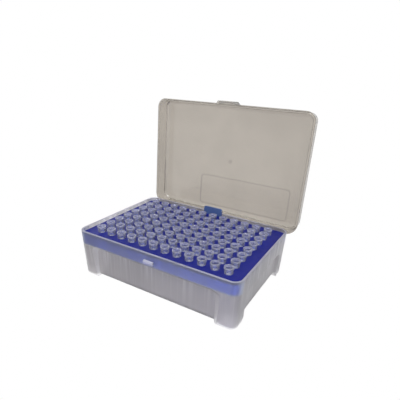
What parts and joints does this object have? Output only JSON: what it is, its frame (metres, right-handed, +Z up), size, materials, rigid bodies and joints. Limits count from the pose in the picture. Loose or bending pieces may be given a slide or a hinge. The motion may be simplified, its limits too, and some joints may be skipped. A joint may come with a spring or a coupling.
{
  "type": "pipette tip box",
  "caption": "Hinged clear plastic rack box on four corner feet with a perforated tray full of small pipette tips, lid open.",
  "frame": {"origin": "on the bench, under the middle of the outline of the open box", "axes": "+Z up, +Y towards the hinge side, +X to the right when the latch side faces the user"},
  "size_m": [0.13, 0.1128, 0.1175],
  "materials": {
    "base_shell": "translucent polypropylene, satin",
    "lid_shell": "translucent polypropylene, satin",
    "tray_blue": "blue polypropylene, satin",
    "tip_clear": "clear polypropylene"
  },
  "bodies": {
    "box": {"base": "base_shell", "tray": "tray_blue", "tips_01_front": "tip_clear", "tips_01_back": "tip_clear", "tips_02_front": "tip_clear", "tips_02_back": "tip_clear", "tips_03_front": "tip_clear", "tips_03_back": "tip_clear", "tips_04_front": "tip_clear", "tips_04_back": "tip_clear", "tips_05_front": "tip_clear", "tips_05_back": "tip_clear", "tips_06_front": "tip_clear", "tips_06_back": "tip_clear", "tips_07_front": "tip_clear", "tips_07_back": "tip_clear", "tips_08_front": "tip_clear", "tips_08_back": "tip_clear", "tips_09_front": "tip_clear", "tips_09_back": "tip_clear", "tips_10_front": "tip_clear", "tips_10_back": "tip_clear", "tips_11_front": "tip_clear", "tips_11_back": "tip_clear", "tips_12_front": "tip_clear", "tips_12_back": "tip_clear"},
    "cover": {"lid": "lid_shell"}
  },
  "joints": [
    {"name": "lid_hinge", "type": "hinge", "parent": "box", "child": "cover", "pos_m": [0, 0.0334, 0.02505], "axis": [1, 0, 0], "range_deg": [0, 93.5]}
  ]
}
